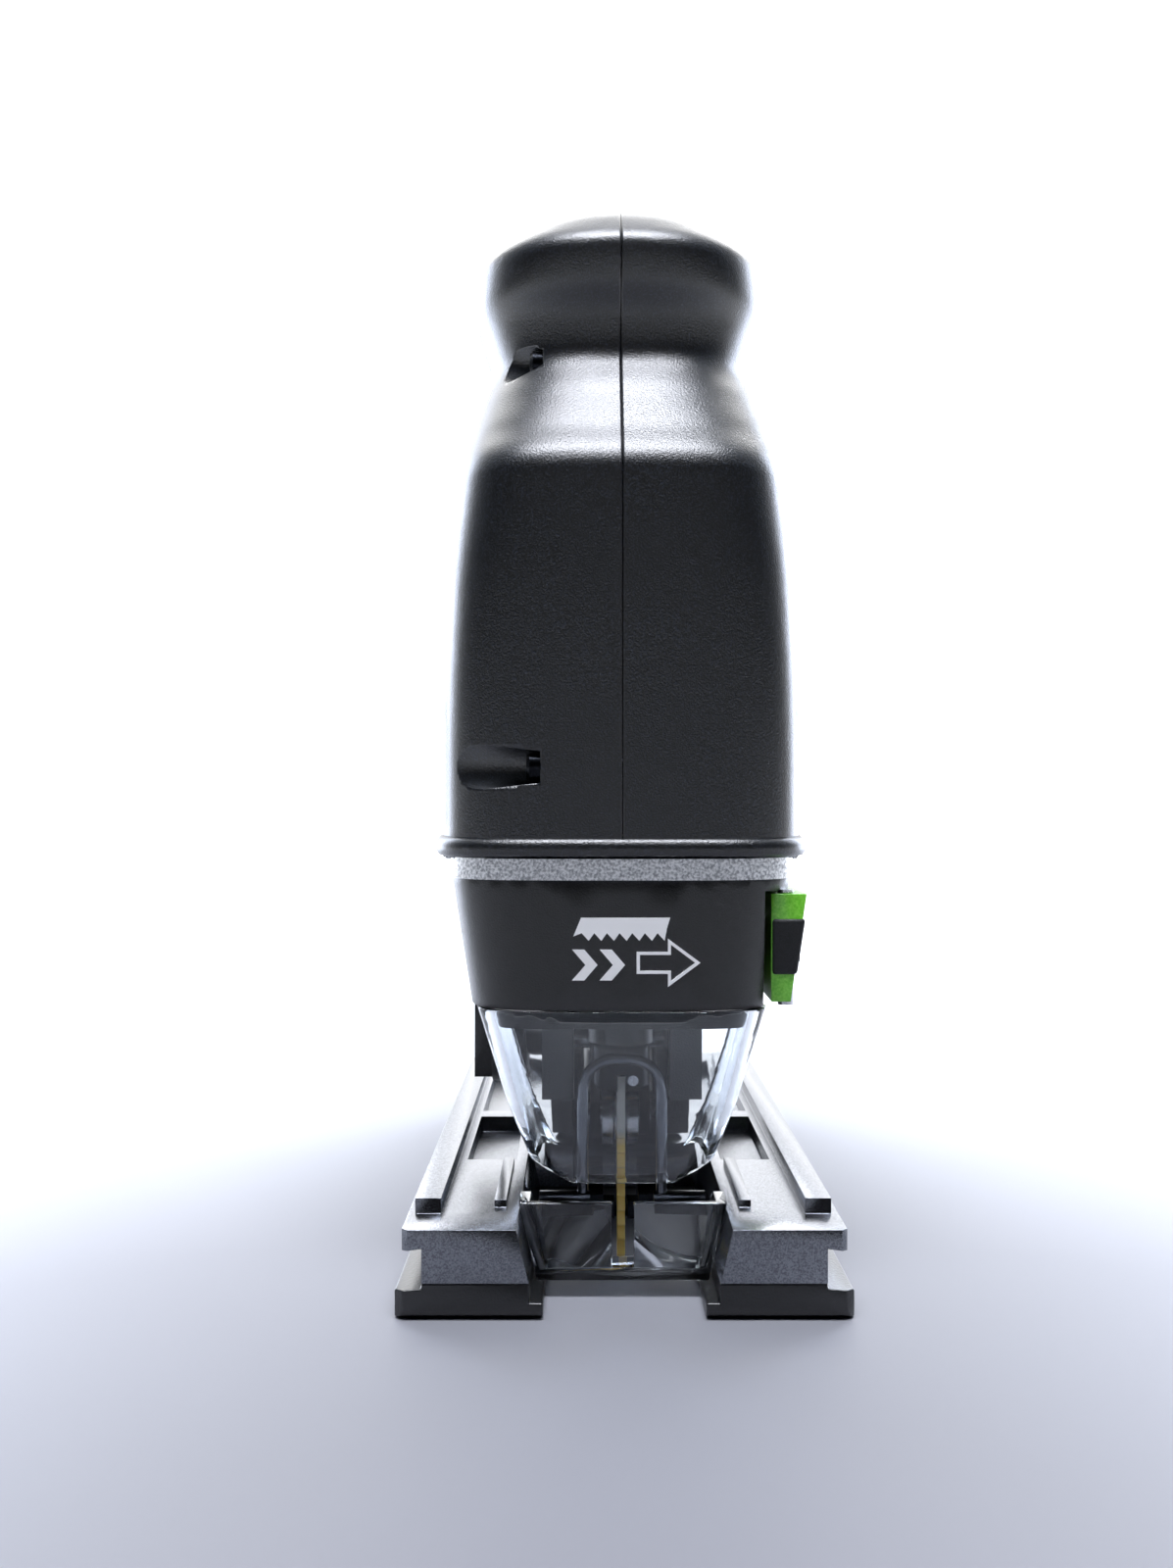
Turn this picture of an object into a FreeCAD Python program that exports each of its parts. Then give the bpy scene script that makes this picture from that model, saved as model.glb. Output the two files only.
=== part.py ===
# Jigsaw with a barrel grip, in millimetres: +Z up, front towards -Y, origin under the middle of its box.
import FreeCAD
import Part
import math
import os

import Sketcher

VECTOR = FreeCAD.Vector
doc = FreeCAD.newDocument("jigsaw")

# ---------------------------------------------------------------- driving dimensions
DIMENSIONS = {
    # sole: aluminium table and plastic shoe
    "sole_front": -125, "sole_rear": 40, "shoe_half": 40, "shoe_top": 6.4, "shoe_slot": 14.2,
    "shoe_step": 16.5, "ledge_top": 3.0, "table_half": 38.7, "table_top": 15.7, "table_slot": 16.6,
    "table_slot_top": 18.8, "foot_rim": 35.2, "flange_top": 5.0, "slot_rear": -62,
    "rail_in": 32.7, "rail_out": 37.4, "rail_top": 18.5,
    "saddle": 22.0, "saddle_wall": 4.0, "saddle_half": 15, "saddle_front": -58, "saddle_rear": -12,
    # gear head
    "cover_bottom": 51.6, "band_bottom": 75.4, "band_top": 79.3, "band_half": 34.0,
    "head_front": -112, "box_half": 31.8, "box_front": -102.2, "box_rear": -57, "box_top": 128,
    "box_wall": 2.4, "foot_half": 14, "foot_gap": 9.5, "foot_front": -88, "foot_rear": -12,
    # housing
    "wall": 3.2, "bead_top": 82.8, "bead_half": 36.2, "motor_z": 122,
    # drive
    "plunger_y": -95, "plunger_r": 4, "stroke": 20, "pinion_pitch": 3.6, "gear_pitch": 27,
    "gear_front": -78, "gear_wide": 6, "pin_gap": 0.4, "plunger_top": 154, "bush_bottom": 43.5,
    "running_fit": 0.05, "apart": 0.3,
    # blade and clamp
    "clamp_bottom": 34.6, "clamp_r": 5.5, "blade_tip": 0.5, "blade_back": -91, "blade_wide": 8,
    "blade_thick": 1.5, "roller_r": 5.4, "roller_z": 27, "hinge_y": -78, "hinge_z": 41,
    # guards
    "shield_wall": 1.8, "wire_r": 1.0, "wire_half": 7.3, "wire_y": -106,
    # motor
    "shaft_r": 4, "core_r": 17.5, "stator_r": 26, "stator_front": -30, "stator_rear": 16,
    "tail": 125,
}
sheet = doc.addObject("Spreadsheet::Sheet", "dims")
for row, (alias, number) in enumerate(DIMENSIONS.items(), start=1):
    sheet.set(f"A{row}", alias)
    sheet.set(f"B{row}", str(number))
    sheet.setAlias(f"B{row}", alias)
doc.recompute()


class Size:
    """A length that carries both its number and the sheet expression it comes from."""

    def __init__(self, number, text=None):
        self.number = float(number)
        self.text = text or repr(float(number))

    def _join(self, other, sign, number):
        return Size(number, f"({self.text} {sign} {size(other).text})")

    def __add__(self, other):
        return self._join(other, "+", self.number + float(other))

    def __sub__(self, other):
        return self._join(other, "-", self.number - float(other))

    def __mul__(self, other):
        return self._join(other, "*", self.number * float(other))

    def __truediv__(self, other):
        return self._join(other, "/", self.number / float(other))

    def __radd__(self, other):
        return size(other) + self

    def __rsub__(self, other):
        return size(other) - self

    def __rmul__(self, other):
        return size(other) * self

    def __neg__(self):
        return self * -1

    def __float__(self):
        return self.number


def size(value):
    return value if isinstance(value, Size) else Size(value)


class Dims:
    """Reads the sheet: d.wall is the cell with the alias wall."""

    def __getattr__(self, alias):
        return Size(sheet.get(alias), "dims." + alias)


d = Dims()
GEAR_Z = d.motor_z - d.pinion_pitch - d.gear_pitch
YOKE_Z = GEAR_Z + d.stroke / 2
AXIS_TURN = {
    "X": FreeCAD.Rotation(VECTOR(0, 1, 0), 90),
    "Y": FreeCAD.Rotation(VECTOR(1, 0, 0), -90),
    "Z": FreeCAD.Rotation(),
}
PARTS = {}


# ---------------------------------------------------------------- ways of making a piece
def bind(obj, **sizes):
    for name, value in sizes.items():
        obj.setExpression(name.replace("_", "."), size(value).text)
    return obj


def place(obj, x=0, y=0, z=0):
    return bind(obj, Placement_Base_x=x, Placement_Base_y=y, Placement_Base_z=z)


def block(name, x, y, z):
    """A box between two levels on each axis."""
    obj = doc.addObject("Part::Box", name)
    bind(obj, Length=x[1] - size(x[0]), Width=y[1] - size(y[0]), Height=z[1] - size(z[0]))
    return place(obj, x[0], y[0], z[0])


def rod(name, axis, radius, start, end, x=0, y=0, z=0):
    """A cylinder along one axis between two levels on it."""
    obj = doc.addObject("Part::Cylinder", name)
    obj.Placement = FreeCAD.Placement(VECTOR(), AXIS_TURN[axis])
    bind(obj, Radius=radius, Height=end - size(start))
    at = {"X": x, "Y": y, "Z": z}
    at[axis] = start
    return place(obj, at["X"], at["Y"], at["Z"])


def fuse(name, *shapes):
    obj = doc.addObject("Part::MultiFuse", name)
    obj.Shapes = list(shapes)
    obj.Refine = True
    return obj


def cut(name, base, *tools):
    obj = doc.addObject("Part::Cut", name)
    obj.Base = base
    obj.Tool = tools[0] if len(tools) == 1 else fuse(name + "_tools", *tools)
    return obj


def common(name, *shapes):
    obj = doc.addObject("Part::MultiCommon", name)
    obj.Shapes = list(shapes)
    return obj


def free_shape(name, shape):
    obj = doc.addObject("Part::Feature", name)
    obj.Shape = shape
    return obj


def part(node, obj):
    """Name a finished piece: its label is also its file's name."""
    obj.Label = node
    PARTS[node] = obj
    return obj


def outline(body, plane, points, offset=0):
    """A closed sketch of straight lines whose corners are tied to the sheet."""
    support = next(o for o in body.Origin.OriginFeatures if o.Role == plane + "_Plane")
    sketch = body.newObject("Sketcher::SketchObject", body.Name + "_outline")
    sketch.AttachmentSupport = [(support, "")]
    sketch.MapMode = "FlatFace"
    bind(sketch, AttachmentOffset_Base_z=offset)
    corners = [VECTOR(float(u), float(v), 0) for u, v in points]
    for i, corner in enumerate(corners):
        sketch.addGeometry(Part.LineSegment(corner, corners[(i + 1) % len(corners)]))
    for i, (u, v) in enumerate(points):
        sketch.addConstraint(Sketcher.Constraint("Coincident", i, 2, (i + 1) % len(points), 1))
        for kind, level in (("DistanceX", u), ("DistanceY", v)):
            index = sketch.addConstraint(Sketcher.Constraint(kind, -1, 1, i, 1, float(level)))
            sketch.setExpression(f"Constraints[{index}]", size(level).text)
    return sketch


def prism(name, plane, points, low, high):
    """A body padded from one outline between two levels across its plane."""
    body = doc.addObject("PartDesign::Body", name)
    offset = -size(high) if plane == "XZ" else low
    sketch = outline(body, plane, points, offset)
    pad = body.newObject("PartDesign::Pad", name + "_pad")
    pad.Profile = sketch
    bind(pad, Length=size(high) - low)
    return body


def turned(name, axis, profile, x=0, y=0, z=0):
    """A body turned about an axis, from (along, radius) corners."""
    body = doc.addObject("PartDesign::Body", name)
    plane = {"X": "XZ", "Y": "YZ", "Z": "XZ"}[axis]
    points = [(r, a) for a, r in profile] if axis == "Z" else profile
    sketch = outline(body, plane, points)
    revolution = body.newObject("PartDesign::Revolution", name + "_turn")
    revolution.Profile = sketch
    revolution.ReferenceAxis = (sketch, ["V_Axis" if axis == "Z" else "H_Axis"])
    revolution.Angle = 360
    return place(body, x, y, z)


def tube(name, axis, outer, inner, start, end, **at):
    return turned(name, axis, [(start, inner), (end, inner), (end, outer), (start, outer)], **at)


def toothed(name, teeth, root, tip, share, start, end, bore, x=0, z=0, turn=0.0):
    """A disc along Y with straight teeth, a share of the pitch wide at the tip."""
    pitch = 2 * math.pi / teeth
    points = []
    for i in range(teeth):
        for radius, part_of_pitch in ((root, -share * 0.85), (tip, -share * 0.5),
                                      (tip, share * 0.5), (root, share * 0.85)):
            angle = i * pitch + part_of_pitch * pitch + turn
            points.append(VECTOR(float(x) + radius * math.sin(angle), float(start),
                                 float(z) + radius * math.cos(angle)))
    face = Part.Face(Part.makePolygon(points + points[:1]))
    solid = face.extrude(VECTOR(0, float(end) - float(start), 0))
    if bore:
        centre = VECTOR(float(x), float(start), float(z))
        solid = solid.cut(Part.makeCylinder(bore, float(end) - float(start), centre, VECTOR(0, 1, 0)))
    return free_shape(name, solid)


def rounded_ring(level, half, front, rear, squareness, along="Z", centre=0.0):
    """A smooth closed section: a rounded rectangle whose corners sharpen with squareness."""
    points = []
    for i in range(32):
        angle = 2 * math.pi * i / 32
        across = math.copysign(abs(math.cos(angle)) ** (2 / squareness), math.cos(angle))
        deep = math.copysign(abs(math.sin(angle)) ** (2 / squareness), math.sin(angle))
        other = (front + rear) / 2 + (rear - front) / 2 * deep
        x = centre + half * across
        points.append(VECTOR(x, other, level) if along == "Z" else VECTOR(x, level, other))
    curve = Part.BSplineCurve()
    curve.interpolate(Points=points, PeriodicFlag=True)
    return Part.Wire([curve.toShape()])


def loft(sections, along="Z"):
    """A solid with straight runs between smooth sections."""
    return Part.makeLoft([rounded_ring(*s, along=along) for s in sections], True, True)


def wedge(half_low, half_high, low, high):
    """Corners of a strip in XZ that is wider at the top."""
    return [(-half_low, low), (half_low, low), (half_high, high), (-half_high, high)]


# ---------------------------------------------------------------- housing shells
FRONT = float(d.head_front)
TOWER = [  # height, half width, front, rear, squareness: straight sides up to the crease
    (79.3, 34.7, FRONT, -40, 4.6),
    (100, 34.9, FRONT, -36, 4.6),
    (130, 34.1, FRONT - 0.3, -30, 4.4),
    (151, 32.4, FRONT - 0.5, -24, 4.0),
]
HEAD = [  # from the crease in to the neck, then out again to the nose and over the crown
    (150, 32.2, FRONT + 0.3, -24.3, 4.0),
    (152.5, 31.9, -111.3, -24, 4.0),
    (160, 30.5, -107.0, -23, 3.6),
    (168, 28.4, -101.5, -22, 3.2),
    (176.5, 26.2, -97.0, -24, 3.0),
    (183, 27.6, -98.0, -28, 2.8),
    (189, 29.3, -101.0, -33, 2.7),
    (195, 28.6, -102.0, -39, 2.6),
    (200, 24.6, -98.5, -47, 2.5),
    (204.5, 16.4, -92.0, -58, 2.4),
    (206.8, 5.0, -83.0, -68, 2.2),
]
BARREL = [  # distance back, half width, bottom, top, squareness
    (-60, 32.0, 88, 156, 2.6),
    (-20, 33.5, 88, 156, 2.6),
    (20, 32.5, 90, 156, 2.5),
    (60, 31.0, 92.5, 155.5, 2.4),
    (95, 29.5, 95, 155, 2.4),
    (110, 27.0, 97.5, 152.5, 2.3),
    (117, 22.0, 102.5, 147.5, 2.2),
    (119, 16.0, 109, 141, 2.1),
]


def inset(sections, by, first, last):
    """The same sections, smaller all round, for the inside of a shell."""
    return [(s[0], s[1] - by, s[2] + by, s[3] - by, s[4]) for s in sections[first:last]]


wall = float(d.wall)
outer = loft(TOWER).fuse(loft(HEAD)).fuse(loft(BARREL, "Y"))
inside_tower = inset(TOWER, wall, 0, 4)
inside_tower[0] = (78.0,) + inside_tower[0][1:]
inside_head = inset(HEAD, wall, 0, 8)
inside_head[-1] = (192.0, 21.0, -95.0, -50.0, 2.5)
inside_barrel = inset(BARREL, wall, 0, 6)
inner = loft(inside_tower).fuse(loft(inside_head)).fuse(loft(inside_barrel, "Y"))
BEAD = (float(d.band_top), float(d.bead_half), FRONT - 1.4, -37.6, 4.6)
bead_height = float(d.bead_top) - float(d.band_top)
bead = Part.Face(rounded_ring(*BEAD)).extrude(VECTOR(0, 0, bead_height))
bead = bead.makeFillet(0.8, bead.Edges)
outer = outer.fuse(bead)

# screws along X: distance back, height, radius of the channel at the side and at the head
SCREWS = [(-109, 96, 4.7, 3.0), (-91.5, 174.5, 4.2, 3.2), (-37, 95.5, 4.0, 3.4),
          (48, 99, 4.0, 3.4), (48, 148, 4.0, 3.4), (100, 104, 3.8, 3.2)]
HEAD_X = -15.0
BOSS_R = 4.4
bosses = []
channels = []
for back, height, mouth, foot in SCREWS:
    bosses.append(Part.makeCylinder(BOSS_R, 80, VECTOR(-40, back, height), VECTOR(1, 0, 0)))
    channels.append(Part.makeCone(mouth, foot, 40 + HEAD_X, VECTOR(-40, back, height), VECTOR(1, 0, 0)))
    channels.append(Part.makeCylinder(2.05, 40, VECTOR(-20, back, height), VECTOR(1, 0, 0)))
lined = [Part.makeCone(m + 1.4, f + 1.4, 40 + HEAD_X, VECTOR(-40, b, h), VECTOR(1, 0, 0))
         for b, h, m, f in SCREWS]
bosses = bosses[0].multiFuse(bosses[1:] + lined).common(outer)

# inner walls that carry the rear bearing and the stator
motor_z = float(d.motor_z)
bulkhead = Part.makeBox(70, 4, 70, VECTOR(-35, 51, motor_z - 35)).common(outer)
bulkhead = bulkhead.cut(Part.makeCylinder(9.5, 20, VECTOR(0, 45, motor_z), VECTOR(0, 1, 0)))
shell = outer.cut(inner).fuse([bosses, bulkhead]).cut(channels)
DIAL_Y, DIAL_Z, DIAL_R = 88.0, 148.5, 10.5
openings = [
    Part.makeBox(12, 36, 9, VECTOR(26, -20, motor_z - 4.5)),  # slot for the switch
    Part.makeCylinder(DIAL_R + 0.5, 7, VECTOR(-3.5, DIAL_Y, DIAL_Z), VECTOR(1, 0, 0)),
    Part.makeCylinder(13.05, 30, VECTOR(0, 100, 125), VECTOR(0, 1, 0)),  # hole for the inlet
]
for i in range(7):  # air slots low in both sides of the barrel's rear
    openings.append(Part.makeBox(80, 2.2, 12, VECTOR(-40, 60 + 5 * i, 105)))
shell = shell.cut(openings)
half_space = Part.makeBox(60, 300, 300, VECTOR(-60, -150, 0))
part("housing_shell_left", free_shape("shell_left", shell.common(half_space)))
half_space.translate(VECTOR(60, 0, 0))
part("housing_shell_right", free_shape("shell_right", shell.common(half_space)))

# soft grip pads that lie on both sides of the barrel
PAD_ON = 1.2
fat = loft([(s[0], s[1] + PAD_ON, s[2] - PAD_ON, s[3] + PAD_ON, s[4]) for s in BARREL[1:6]], "Y")
for side, sign in (("left", -1), ("right", 1)):
    begin = 18 if sign > 0 else -16
    zone = Part.makeBox(20, 58 - begin, 24, VECTOR(20 if sign > 0 else -40, begin, 110))
    zone = zone.makeFillet(5, [e for e in zone.Edges if abs(e.tangentAt(e.FirstParameter).x) > 0.9])
    pad = fat.common(zone).cut(outer)
    part("grip_pad_" + side, free_shape("pad_" + side, pad))

screws = []
for back, height, _, _ in SCREWS:
    screws.append(turned(f"screw_{len(screws)}", "X", [
        (HEAD_X - 2.6, 0), (15, 0), (15, 2), (HEAD_X, 2), (HEAD_X, 2.9), (HEAD_X - 2.0, 2.9),
        (HEAD_X - 2.6, 2.2)], y=back, z=height))
part("housing_screws", fuse("screw_set", *screws))

# ---------------------------------------------------------------- gear head
band = Part.Face(rounded_ring(float(d.band_bottom), float(d.band_half), FRONT - 0.6, -41, 4.6))
band = band.extrude(VECTOR(0, 0, float(d.band_top - d.band_bottom)))
band = free_shape("band", band)
NOSE = [(52.6, 27.2, FRONT + 2.0, -52, 4.6), (75.4, 30.9, FRONT + 2.0, -48, 4.6)]
nose = free_shape("nose", loft(NOSE))
box_round = free_shape("box_round", loft([(78, 30.6, FRONT + 4, -44, 4.6),
                                    (float(d.box_top), 30.6, FRONT + 4, -44, 4.6)]))
upper_box = common("upper_box", box_round, block("box_zone", (-d.box_half, d.box_half),
                                                 (d.box_front, d.box_rear), (78, d.box_top)))
foot = block("foot", (-d.foot_half, d.foot_half), (d.foot_front, d.foot_rear), (14, 54))
bush_boss = rod("bush_boss", "Z", 6.2, d.bush_bottom, 56, y=d.plunger_y)
bridge = block("bridge", (-10, 10), (d.box_front, -89), (116, d.box_top))
ROOM_Y = (d.box_front + d.box_wall, d.box_rear - 8)
cavity = fuse("cavity", block("cavity_low", (-24, 24), ROOM_Y, (64, 90)),
              block("cavity_high", (-28.4, 28.4), ROOM_Y, (88, d.box_top - 3)),
              rod("gear_room", "Y", 28.4, ROOM_Y[0], ROOM_Y[1], z=GEAR_Z))
foot_gap = block("foot_gap", (-d.foot_gap, d.foot_gap), (d.foot_front - 5, d.foot_rear + 5), (10, 48))
foot_round = rod("foot_round", "Y", d.saddle + d.apart, -100, 0)
front_foot = block("front_foot", (-20, 20), (d.foot_front - 5, d.saddle_front), (10, 24))
foot_edges = [block(f"foot_edge_{i}", x, (-100, 0), (10, 20.6))
              for i, x in enumerate([(-20, -10.8), (10.8, 20)])]
lever_bay = block("lever_bay", (26.2, 45), (-109.4, -66), (45, 73.2))
hollow = cut("box_hollow", fuse("box_body", band, nose, upper_box, foot, bush_boss), cavity, foot_gap,
             foot_round, front_foot, lever_bay, *foot_edges)
rear_foot = cut("rear_foot", block("rear_foot_block", (-d.foot_gap, d.foot_gap), (-48, -22), (14, 25)),
                rod("rear_foot_round", "Y", d.saddle + d.apart, -60, 0),
                rod("clamp_hole", "Z", 2.55, 10, 30, y=-35))
axle_boss = rod("axle_boss", "Y", 8, d.box_rear - 8.5, d.box_rear, z=GEAR_Z)
cast = cut("cast", fuse("cast_body", hollow, bridge, rear_foot, axle_boss),
           rod("bush_bore_low", "Z", 5.2, 40, 64, y=d.plunger_y),
           rod("bush_bore_high", "Z", 5.2, 114, 130, y=d.plunger_y),
           rod("bearing_seat", "Y", 8, d.box_rear - 7.5, d.box_rear + 5, z=d.motor_z),
           rod("shaft_way", "Y", 4.6, -90, d.box_rear, z=d.motor_z),
           rod("axle_seat", "Y", 4, -90, d.box_rear - 2, z=GEAR_Z),
           rod("arm_pin_bore", "X", 2, -20, 20, y=d.hinge_y, z=d.hinge_z),
           rod("selector_bore", "X", 3.05, -20, 0, y=-55, z=36),
           rod("clamp_well", "Z", 4.5, 44, 60, y=-35))
part("gearbox_housing", cast)

COVER = [(float(d.cover_bottom), 28.7, FRONT + 0.4, -58, 4.6), (float(d.band_bottom), 32.6, FRONT, -54, 4.6)]
cover_skin = free_shape("cover_skin", loft(COVER))
cover_room = free_shape("cover_room", loft(NOSE))
cover_floor = block("cover_floor", (-40, 40), (-125, -62), (50, 52.6))
cover_back = block("cover_back", (-40, 40), (-62, -30), (45, 80))
bush_way = rod("bush_way", "Z", 6.3, 40, 60, y=d.plunger_y)
foot_way = block("foot_way", (-d.foot_half, d.foot_half), (d.foot_front, -40), (45, 60))
posts = [block(f"post_{s}", (min(9 * s, 15 * s), max(9 * s, 15 * s)), (-104, -98), (34, 52.6))
         for s in (-1, 1)]
cover = cut("cover", fuse("cover_body", cover_skin, *posts), cover_room, cover_back, bush_way, foot_way,
            lever_bay)
part("gear_head_cover", cover)

# ---------------------------------------------------------------- blade release lever
LEVER_FRONT, LEVER_REAR = -107.0, -72.0
LEVER_X, LEVER_Y = 30.6, -104.2
lever = prism("lever", "XZ", [(27.6, 52.6), (31.2, 52.6), (34.2, 72.6), (27.6, 72.6)],
              LEVER_FRONT, LEVER_REAR)
lever = cut("lever_bored", lever, rod("lever_bore", "Z", 1.55, 50, 75, x=LEVER_X, y=LEVER_Y))
part("release_lever", lever)
pad = prism("lever_grip", "XZ", [(32.1, 58.6), (33.0, 58.6), (34.1, 66.2), (33.25, 66.2)], -100, -75)
part("lever_pad", pad)
part("lever_pivot_pin", rod("lever_pin", "Z", 1.5, 51.8, 73.2, x=LEVER_X, y=LEVER_Y))

# ---------------------------------------------------------------- guards
SHIELD = [(20.5, 16.0, FRONT - 0.8, -88, 4.0), (34.0, 21.6, FRONT - 0.6, -86, 4.2),
          (51.4, 27.1, FRONT, -84, 4.4)]
shield_room = inset(SHIELD, float(d.shield_wall), 0, 3)
shield_room[0] = (19.0,) + shield_room[0][1:]
shield_room[-1] = (53.0,) + shield_room[-1][1:]
shield = loft(SHIELD).cut(loft(shield_room))
shield = shield.cut(Part.makeBox(80, 31, 80, VECTOR(-40, -91, 0)))
for s in (-1, 1):  # the lower corners are cut back so that the sole can tilt under them
    trim = [VECTOR(8 * s, -130, 20), VECTOR(30 * s, -130, 20), VECTOR(30 * s, -130, 30)]
    shield = shield.cut(Part.Face(Part.makePolygon(trim + trim[:1])).extrude(VECTOR(0, 50, 0)))
part("chip_shield", free_shape("shield", shield))
rim = [(48.0, 23.7, FRONT + 2.4, -86.6, 4.4), (51.2, 24.6, FRONT + 2.4, -86.6, 4.4)]
rim_skin = free_shape("rim_skin", loft(rim))
rim_room = free_shape("rim_room", loft([
    (47, 22.0, FRONT + 4.2, -60, 4.4), (53, 23.0, FRONT + 4.2, -60, 4.4)]))
rim_back = block("rim_back", (-40, 40), (-93, -60), (0, 80))
part("shield_gasket", cut("gasket", rim_skin, rim_room, rim_back))

wire_low, wire_high, bend = 13.5, 42.0, 6.0
half, wire_y = float(d.wire_half), float(d.wire_y)
diag = bend * (1 - math.sqrt(0.5))
path = [
    Part.LineSegment(VECTOR(-half, wire_y, wire_low), VECTOR(-half, wire_y, wire_high - bend)),
    Part.Arc(VECTOR(-half, wire_y, wire_high - bend), VECTOR(-half + diag, wire_y, wire_high - diag),
             VECTOR(-half + bend, wire_y, wire_high)),
    Part.LineSegment(VECTOR(-half + bend, wire_y, wire_high), VECTOR(half - bend, wire_y, wire_high)),
    Part.Arc(VECTOR(half - bend, wire_y, wire_high), VECTOR(half - diag, wire_y, wire_high - diag),
             VECTOR(half, wire_y, wire_high - bend)),
    Part.LineSegment(VECTOR(half, wire_y, wire_high - bend), VECTOR(half, wire_y, wire_low)),
]
spine = Part.Wire([piece.toShape() for piece in path])
ring = Part.Wire([Part.makeCircle(float(d.wire_r), VECTOR(-half, wire_y, wire_low), VECTOR(0, 0, 1))])
wire = spine.makePipeShell([ring], True, False)
part("wire_guard", free_shape("wire", wire))

# ---------------------------------------------------------------- plunger, clamp and blade
part("lower_bush", tube("bush_low", "Z", 5.2, d.plunger_r + d.running_fit, d.bush_bottom, 62, y=d.plunger_y))
part("upper_bush", tube("bush_high", "Z", 5.2, d.plunger_r + d.running_fit, 116, d.box_top, y=d.plunger_y))
YOKE_HIGH = 9.0
rod_body = rod("plunger_rod", "Z", d.plunger_r, 38, d.plunger_top, y=d.plunger_y)
flat = block("plunger_flat", (-10, 10), (d.plunger_y + 3, d.plunger_y + 8),
             (YOKE_Z - YOKE_HIGH, YOKE_Z + YOKE_HIGH))
part("plunger", cut("plunger_cut", rod_body, flat))
YOKE_FRONT = d.plunger_y + 3
YOKE_BACK = d.gear_front - 7
yoke_plate = block("yoke_plate", (-22, 22), (YOKE_FRONT, YOKE_BACK), (YOKE_Z - YOKE_HIGH, YOKE_Z + YOKE_HIGH))
yoke_slot = block("yoke_slot", (-17.5, 17.5), (YOKE_FRONT + 2, YOKE_BACK + 1), (YOKE_Z - 4.3, YOKE_Z + 4.3))
part("plunger_yoke", cut("yoke", yoke_plate, yoke_slot))

CLAMP_TOP = d.bush_bottom - d.apart
half_thick = d.blade_thick / 2
BLADE_TOP = 37.6
CLAMP_BACK = d.blade_back - d.apart
clamp = turned("clamp_body", "Z", [
    (d.clamp_bottom, 0), (d.clamp_bottom, 4.8), (d.clamp_bottom + 0.8, d.clamp_r),
    (CLAMP_TOP - 0.6, d.clamp_r), (CLAMP_TOP, 5.0), (CLAMP_TOP, 0)], y=d.plunger_y)
clamp = cut("clamp_cut", clamp, rod("clamp_bore", "Z", d.plunger_r, 38, 60, y=d.plunger_y),
            block("clamp_slot", (-half_thick, half_thick), (-110, d.blade_back), (30, BLADE_TOP)),
            rod("clamp_pin_bore", "Y", 1.0, -110, -80, x=2.2, z=36.7),
            block("clamp_back", (-8, 8), (CLAMP_BACK, -80), (30, 50)))  # flat, to pass in front of the roller
part("blade_clamp", clamp)
part("clamp_pin", rod("clamp_cross", "Y", 1.0, -100.1, CLAMP_BACK - 0.3, x=2.2, z=36.7))

TEETH = 9
teeth_low = float(d.blade_tip)
blade_edge = float(d.blade_back - d.blade_wide)
profile = [VECTOR(0, float(d.blade_back), teeth_low + 4), VECTOR(0, float(d.blade_back), BLADE_TOP),
           VECTOR(0, blade_edge + 1.2, BLADE_TOP)]
tooth = 25.0 / TEETH
for i in range(TEETH):
    top = 28.0 - tooth * i
    profile.append(VECTOR(0, blade_edge + 1.2, top))
    profile.append(VECTOR(0, blade_edge, top - tooth * 0.85))
profile.append(VECTOR(0, blade_edge + 1.2, 28.0 - tooth * TEETH))
profile.append(VECTOR(0, blade_edge + 2.0, teeth_low))
blade = Part.Face(Part.makePolygon(profile + profile[:1])).extrude(VECTOR(float(d.blade_thick), 0, 0))
blade.translate(VECTOR(-float(d.blade_thick) / 2, 0, 0))
part("saw_blade", free_shape("blade", blade))

# ---------------------------------------------------------------- gear train
PINION_TEETH, GEAR_TEETH = 8, 60
gear_start, gear_end = float(d.gear_front), float(d.gear_front + d.gear_wide)
gear_z = float(GEAR_Z)
gear = toothed("gear_blank", GEAR_TEETH, 26.0, 27.6, 0.34, gear_start, gear_end, 4.05, z=gear_z,
               turn=math.pi / GEAR_TEETH)
holes = [Part.makeCylinder(4.5, 20, VECTOR(15.5 * math.sin(a), gear_start - 5, gear_z + 15.5 * math.cos(a)),
                           VECTOR(0, 1, 0)) for a in (math.radians(72), math.radians(144),
                                                      math.radians(216), math.radians(288))]
gear.Shape = gear.Shape.cut(holes)
part("drive_gear", gear)
part("gear_axle", rod("axle", "Y", 4, gear_start - 0.5, float(d.box_rear) - 2, z=GEAR_Z))
part("eccentric_pin", rod("crank_pin", "Y", 4, YOKE_BACK + d.pin_gap, d.gear_front, z=YOKE_Z))
weight = block("weight_plate", (-20, 20), (gear_end + 0.5, d.box_rear - 9), (gear_z - 20, gear_z + 14))
weight_slot = block("weight_slot", (-8.6, 8.6), (gear_end - 5, d.box_rear), (gear_z - 16, gear_z + 30))
part("balance_weight", cut("weight", weight, weight_slot))

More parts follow.
